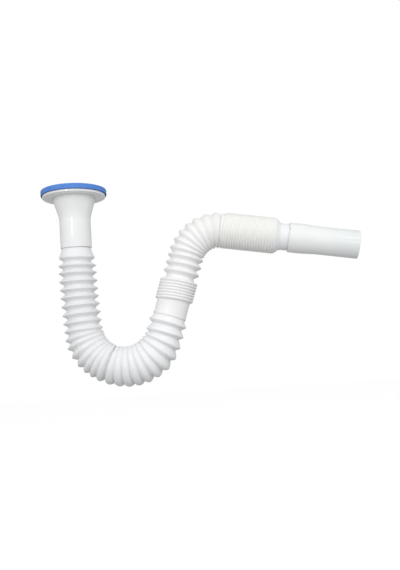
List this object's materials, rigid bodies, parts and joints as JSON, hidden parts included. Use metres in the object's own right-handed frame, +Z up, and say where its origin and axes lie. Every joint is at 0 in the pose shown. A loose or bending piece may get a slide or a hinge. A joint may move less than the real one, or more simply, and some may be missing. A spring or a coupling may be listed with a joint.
{
  "type": "flexible waste hose",
  "caption": "Flexible waste hose: flanged inlet funnel with a blue gasket, white bellows bent into a trap and over to a stack of closed rings, and a plain outlet pipe.",
  "frame": {"origin": "centre of the funnel's mouth, in the flange's top face under the gasket", "axes": "+Z up out of the inlet along the funnel's axis; the hose lies in the X-Z plane and its outlet points along +X and a little down"},
  "size_m": [0.3662, 0.0766, 0.2316],
  "materials": {
    "blue_rubber": "satin blue moulded rubber",
    "white_moulded": "glossy injection-moulded white plastic",
    "white_bellows": "semi-gloss blow-moulded white plastic",
    "white_pipe": "smooth extruded white plastic"
  },
  "bodies": {
    "inlet": {"gasket_ring": "blue_rubber", "inlet_funnel": "white_moulded"},
    "middle": {"lower_bellows": "white_bellows"},
    "upper": {"upper_bellows": "white_bellows"},
    "tail": {"tail_pipe": "white_pipe"}
  },
  "joints": [
    {"name": "trap_bend", "type": "hinge", "parent": "inlet", "child": "middle", "pos_m": [0.05181, 0, -0.20748], "axis": [0, 1, 0], "range_deg": [-15, 40], "deforming": ["lower_bellows"]},
    {"name": "top_bend", "type": "hinge", "parent": "middle", "child": "upper", "pos_m": [0.14563, 0, -0.0638], "axis": [0, 1, 0], "range_deg": [-35, 25], "deforming": ["upper_bellows"]},
    {"name": "stack_pull", "type": "slide", "parent": "upper", "child": "tail", "axis": [0.9823, 0, -0.1874], "range_m": [0, 0.08], "deforming": ["upper_bellows"]}
  ]
}
